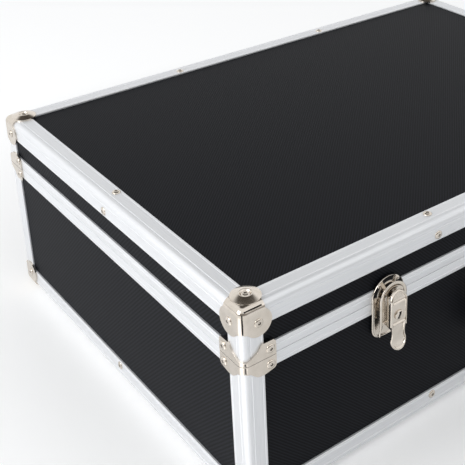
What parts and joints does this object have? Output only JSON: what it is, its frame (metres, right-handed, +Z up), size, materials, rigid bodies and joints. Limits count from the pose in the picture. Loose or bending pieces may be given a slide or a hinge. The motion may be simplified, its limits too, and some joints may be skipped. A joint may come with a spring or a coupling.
{
  "type": "cd flight case",
  "caption": "Low rectangular flight case for disc cases: black ribbed panels in aluminium profiles, round-eared steel corners, hinged lid, lockable draw latches and a folding handle.",
  "frame": {"origin": "middle of the bounding box, on the floor plane", "axes": "+X along the front from left to right, +Y from the front to the back, +Z up"},
  "size_m": [0.4996, 0.3792, 0.168],
  "materials": {
    "laminate": "black ribbed laminate on plywood",
    "aluminium_profile": "satin anodised, drawn grooves",
    "plated_steel": "bright nickel plate",
    "lock_steel": "bright nickel plate",
    "lining": "black felt",
    "foam": "black foam, felt faced",
    "divider": "black felt on board",
    "handle_plastic": "fine grain, black"
  },
  "bodies": {
    "base": {"base_back_edge": "aluminium_profile", "base_back_panel": "laminate", "base_back_rim": "aluminium_profile", "base_bottom_panel": "laminate", "base_brackets": "plated_steel", "base_corners": "plated_steel", "base_front_edge": "aluminium_profile", "base_front_panel": "laminate", "base_front_rim": "aluminium_profile", "base_hinge_leaves": "plated_steel", "base_left_edge": "aluminium_profile", "base_left_panel": "laminate", "base_left_rim": "aluminium_profile", "base_lining": "lining", "base_posts": "aluminium_profile", "base_right_edge": "aluminium_profile", "base_right_panel": "laminate", "base_right_rim": "aluminium_profile", "base_rivets": "plated_steel", "handle_brackets": "plated_steel", "latch_plates": "plated_steel", "left_divider": "divider", "right_divider": "divider"},
    "handle": {"handle": "handle_plastic"},
    "lid": {"latch_keepers": "plated_steel", "lid_back_edge": "aluminium_profile", "lid_back_panel": "laminate", "lid_back_rim": "aluminium_profile", "lid_brackets": "plated_steel", "lid_corners": "plated_steel", "lid_front_edge": "aluminium_profile", "lid_front_panel": "laminate", "lid_front_rim": "aluminium_profile", "lid_hinge_leaves": "plated_steel", "lid_left_edge": "aluminium_profile", "lid_left_panel": "laminate", "lid_left_rim": "aluminium_profile", "lid_lining": "lining", "lid_pad": "foam", "lid_posts": "aluminium_profile", "lid_right_edge": "aluminium_profile", "lid_right_panel": "laminate", "lid_right_rim": "aluminium_profile", "lid_rivets": "plated_steel", "lid_top_panel": "laminate"},
    "left_bail": {"left_latch_bail": "plated_steel"},
    "left_lever": {"left_latch_lever": "plated_steel"},
    "left_lock": {"left_latch_lock": "lock_steel"},
    "right_bail": {"right_latch_bail": "plated_steel"},
    "right_lever": {"right_latch_lever": "plated_steel"},
    "right_lock": {"right_latch_lock": "lock_steel"}
  },
  "joints": [
    {"name": "lid_hinge", "type": "hinge", "parent": "base", "child": "lid", "pos_m": [0, 0.18665, 0.124], "axis": [-1, 0, 0], "range_deg": [0, 95]},
    {"name": "left_lever_pivot", "type": "hinge", "parent": "base", "child": "left_lever", "pos_m": [-0.1295, -0.18035, 0.1265], "axis": [-1, 0, 0], "range_deg": [0, 120]},
    {"name": "left_bail_pivot", "type": "hinge", "parent": "left_lever", "child": "left_bail", "pos_m": [-0.1295, -0.17685, 0.109], "axis": [-1, 0, 0], "range_deg": [-120, 0]},
    {"name": "left_lock_turn", "type": "hinge", "parent": "left_lever", "child": "left_lock", "pos_m": [-0.1295, -0.17965, 0.1155], "axis": [0, -1, 0], "range_deg": [0, 90]},
    {"name": "right_lever_pivot", "type": "hinge", "parent": "base", "child": "right_lever", "pos_m": [0.1295, -0.18035, 0.1265], "axis": [-1, 0, 0], "range_deg": [0, 120]},
    {"name": "right_bail_pivot", "type": "hinge", "parent": "right_lever", "child": "right_bail", "pos_m": [0.1295, -0.17685, 0.109], "axis": [-1, 0, 0], "range_deg": [-120, 0]},
    {"name": "right_lock_turn", "type": "hinge", "parent": "right_lever", "child": "right_lock", "pos_m": [0.1295, -0.17965, 0.1155], "axis": [0, 1, 0], "range_deg": [0, 90]},
    {"name": "handle_pivot", "type": "hinge", "parent": "base", "child": "handle", "pos_m": [0, -0.18165, 0.097], "axis": [-1, 0, 0], "range_deg": [0, 95]}
  ],
  "couplings": [
    {"joint": "left_bail_pivot", "follows": "left_lever_pivot", "ratio": -1},
    {"joint": "right_bail_pivot", "follows": "right_lever_pivot", "ratio": -1}
  ]
}
